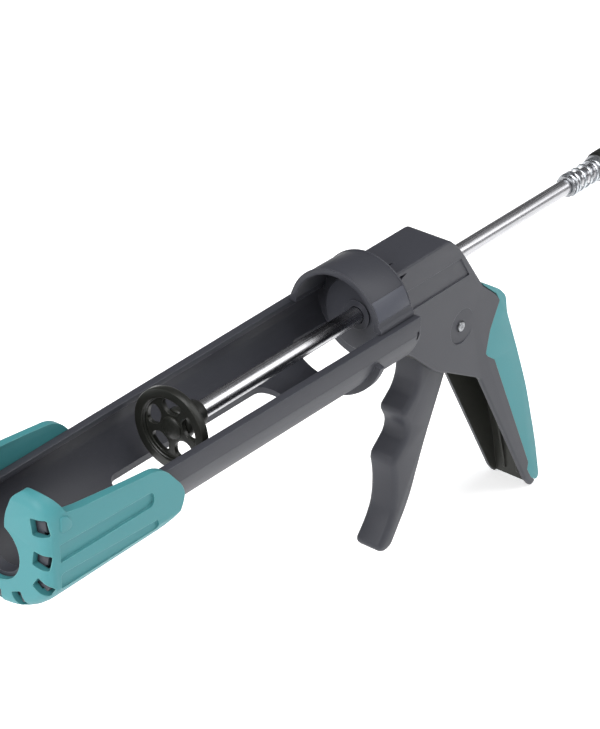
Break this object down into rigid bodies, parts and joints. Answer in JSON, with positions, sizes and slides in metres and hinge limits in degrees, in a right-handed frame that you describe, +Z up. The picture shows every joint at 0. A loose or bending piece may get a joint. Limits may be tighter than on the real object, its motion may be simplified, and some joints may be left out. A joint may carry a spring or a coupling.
{
  "type": "caulking gun",
  "caption": "Hand-squeezed caulking gun with an open half-round cradle for a sealant cartridge, a pistol grip with a trigger, and a sliding push rod with a spoked plunger disc.",
  "frame": {"origin": "web of the hand on the back of the handle, on the gun's middle plane", "axes": "+X along the push rod towards the nozzle end, +Y to the gun's left side, +Z up"},
  "size_m": [0.5165, 0.0718, 0.2113],
  "materials": {
    "housing_plastic": "fine-grained matte, dark blue-grey",
    "soft_teal": "satin, grey-green teal",
    "black_plastic": "semi-matte moulded black",
    "zinc_steel": "bright drawn steel with lengthwise streaks",
    "spring_steel": "bright spring wire",
    "bush_plastic": "natural moulded plastic"
  },
  "bodies": {
    "root": {"body_housing": "housing_plastic", "handle_cover": "soft_teal", "cradle": "housing_plastic", "rear_hoop": "housing_plastic", "nose_plate": "housing_plastic", "nose_cover": "soft_teal", "trigger_pin": "zinc_steel", "pin_retainer": "zinc_steel", "front_bush": "bush_plastic", "rear_bush": "bush_plastic", "drive_spring": "spring_steel", "brake_spring": "spring_steel"},
    "trigger": {"trigger": "housing_plastic"},
    "drive": {"drive_plate": "zinc_steel"},
    "release": {"release_lever": "zinc_steel"},
    "rod": {"push_rod": "zinc_steel", "plunger_disc": "black_plastic", "plunger_collar": "black_plastic", "spring_seat": "zinc_steel", "bumper_spring": "spring_steel", "stop_washer": "zinc_steel", "end_knob": "black_plastic"}
  },
  "joints": [
    {"name": "trigger_pull", "type": "hinge", "parent": "root", "child": "trigger", "pos_m": [0.0443, 0, 0.0117], "axis": [0, 1, 0], "range_deg": [0, 26], "stiffness_Nm_per_rad": 1.2},
    {"name": "drive_push", "type": "slide", "parent": "root", "child": "drive", "axis": [1, 0, 0], "range_m": [0, 0.0115], "deforming": ["drive_spring"]},
    {"name": "release_pull", "type": "hinge", "parent": "root", "child": "release", "pos_m": [0.0988, 0, 0.0625], "axis": [0, 1, 0], "range_deg": [0, 5], "stiffness_Nm_per_rad": 0.6, "deforming": ["brake_spring"]},
    {"name": "rod_slide", "type": "slide", "parent": "root", "child": "rod", "axis": [1, 0, 0], "range_m": [-0.125, 0.105]}
  ],
  "couplings": [
    {"joint": "drive_push", "follows": "trigger_pull", "m_per_rad": 0.0243}
  ]
}
